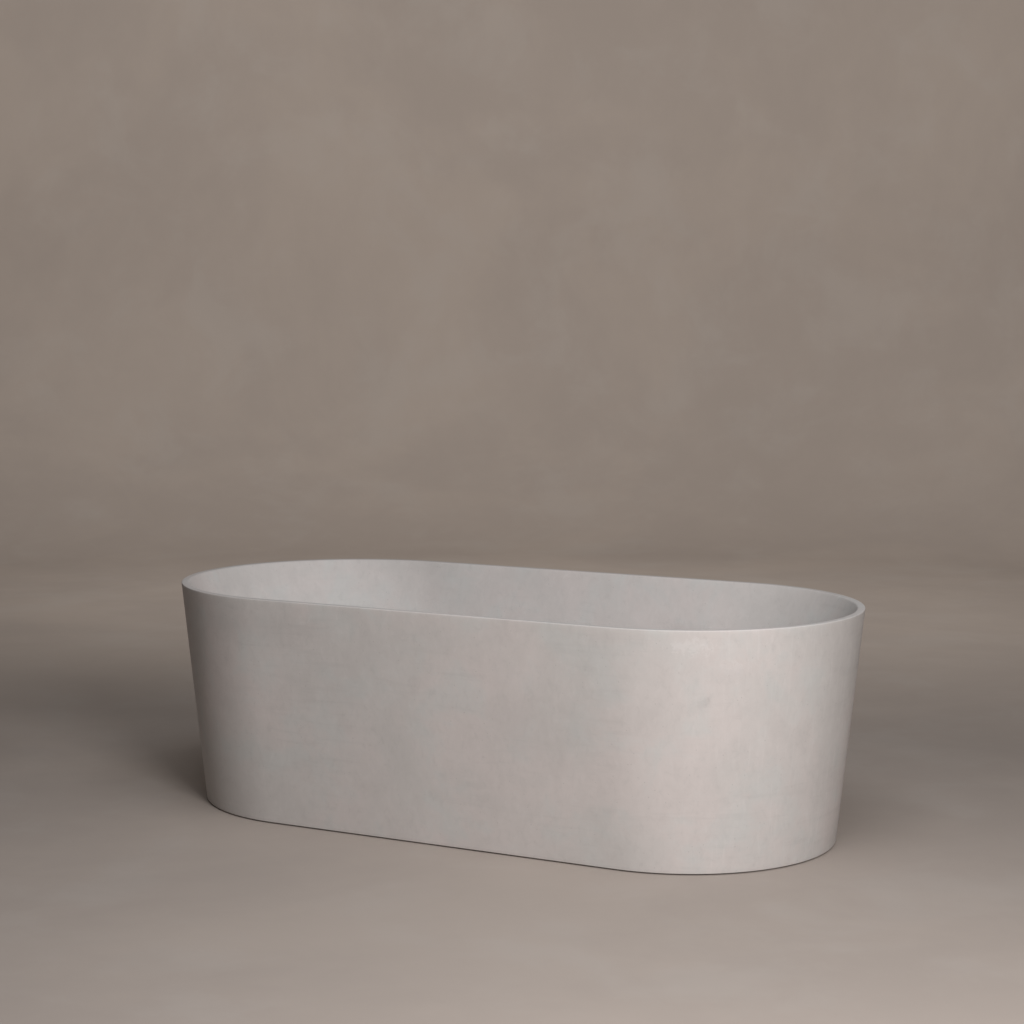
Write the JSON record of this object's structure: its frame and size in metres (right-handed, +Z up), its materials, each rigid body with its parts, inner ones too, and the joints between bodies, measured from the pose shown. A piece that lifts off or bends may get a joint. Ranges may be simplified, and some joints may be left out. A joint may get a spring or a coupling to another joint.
{
  "type": "freestanding bathtub",
  "caption": "Freestanding bathtub with round ends: a cast stone basin inside a tapered skirt, on a steel frame with levelling feet, with a push plug waste and slot overflow.",
  "frame": {"origin": "on the floor, under the middle of the tub", "axes": "+X along the tub, +Y across it towards its back, with the overflow in the front wall, +Z up"},
  "size_m": [1.7494, 0.8494, 0.55],
  "materials": {
    "cast_stone": "matt, fine grained",
    "resin": "cured resin",
    "galvanised_steel": "zinc coated",
    "zinc_steel": "zinc plated",
    "brass": "turned",
    "pad_plastic": "moulded",
    "rubber": "matt",
    "white_plastic": "moulded",
    "brushed_steel": "brushed",
    "bright_steel": "bright",
    "hose_plastic": "ribbed"
  },
  "bodies": {
    "tub": {"outer_skirt": "cast_stone", "inner_basin": "cast_stone", "rim_bond": "resin", "bonding_pads": "resin", "rail_front": "galvanised_steel", "rail_back": "galvanised_steel", "crossbar_left": "galvanised_steel", "crossbar_right": "galvanised_steel", "frame_bolts": "zinc_steel", "frame_washers": "zinc_steel", "frame_nuts": "zinc_steel", "skirt_brackets": "galvanised_steel", "bracket_screws": "zinc_steel", "foot_inserts": "brass", "foot_locknut_left_front": "zinc_steel", "foot_locknut_right_front": "zinc_steel", "foot_locknut_left_back": "zinc_steel", "foot_locknut_right_back": "zinc_steel", "drain_flange": "brushed_steel", "flange_seal": "rubber", "waste_body": "white_plastic", "waste_seal": "rubber", "tail_pipe": "white_plastic", "tail_seal": "rubber", "tail_nut": "white_plastic", "plug_spring": "bright_steel", "plug_cartridge": "white_plastic", "overflow_trim": "brushed_steel", "overflow_gasket": "rubber", "overflow_duct": "white_plastic", "overflow_hose": "hose_plastic", "hose_clamp_upper": "bright_steel", "hose_clamp_lower": "bright_steel"},
    "pad_left_front": {"foot_pad_left_front": "pad_plastic", "foot_sole_left_front": "rubber"},
    "stud_left_front": {"foot_stud_left_front": "zinc_steel"},
    "pad_right_front": {"foot_pad_right_front": "pad_plastic", "foot_sole_right_front": "rubber"},
    "stud_right_front": {"foot_stud_right_front": "zinc_steel"},
    "pad_left_back": {"foot_pad_left_back": "pad_plastic", "foot_sole_left_back": "rubber"},
    "stud_left_back": {"foot_stud_left_back": "zinc_steel"},
    "pad_right_back": {"foot_pad_right_back": "pad_plastic", "foot_sole_right_back": "rubber"},
    "stud_right_back": {"foot_stud_right_back": "zinc_steel"},
    "plug": {"plug_cap": "brushed_steel", "plug_seal": "rubber", "plug_stem": "bright_steel"}
  },
  "joints": [
    {"name": "foot_height_left_front", "type": "slide", "parent": "tub", "child": "pad_left_front", "axis": [0, 0, 1], "range_m": [-0.012, 0.003]},
    {"name": "stud_turn_left_front", "type": "hinge", "parent": "pad_left_front", "child": "stud_left_front", "pos_m": [-0.42, -0.2499, 0.05], "axis": [0, 0, 1], "range_deg": [-2475, 620]},
    {"name": "foot_height_right_front", "type": "slide", "parent": "tub", "child": "pad_right_front", "axis": [0, 0, 1], "range_m": [-0.012, 0.003]},
    {"name": "stud_turn_right_front", "type": "hinge", "parent": "pad_right_front", "child": "stud_right_front", "pos_m": [0.42, -0.2499, 0.05], "axis": [0, 0, 1], "range_deg": [-2475, 620]},
    {"name": "foot_height_left_back", "type": "slide", "parent": "tub", "child": "pad_left_back", "axis": [0, 0, 1], "range_m": [-0.012, 0.003]},
    {"name": "stud_turn_left_back", "type": "hinge", "parent": "pad_left_back", "child": "stud_left_back", "pos_m": [-0.42, 0.2499, 0.05], "axis": [0, 0, 1], "range_deg": [-2475, 620]},
    {"name": "foot_height_right_back", "type": "slide", "parent": "tub", "child": "pad_right_back", "axis": [0, 0, 1], "range_m": [-0.012, 0.003]},
    {"name": "stud_turn_right_back", "type": "hinge", "parent": "pad_right_back", "child": "stud_right_back", "pos_m": [0.42, 0.2499, 0.05], "axis": [0, 0, 1], "range_deg": [-2475, 620]},
    {"name": "plug_lift", "type": "slide", "parent": "tub", "child": "plug", "axis": [0, 0, 1], "range_m": [0, 0.008]}
  ],
  "couplings": [
    {"joint": "stud_turn_left_front", "follows": "foot_height_left_front", "rad_per_m": 3590.4},
    {"joint": "stud_turn_right_front", "follows": "foot_height_right_front", "rad_per_m": 3590.4},
    {"joint": "stud_turn_left_back", "follows": "foot_height_left_back", "rad_per_m": 3590.4},
    {"joint": "stud_turn_right_back", "follows": "foot_height_right_back", "rad_per_m": 3590.4}
  ]
}
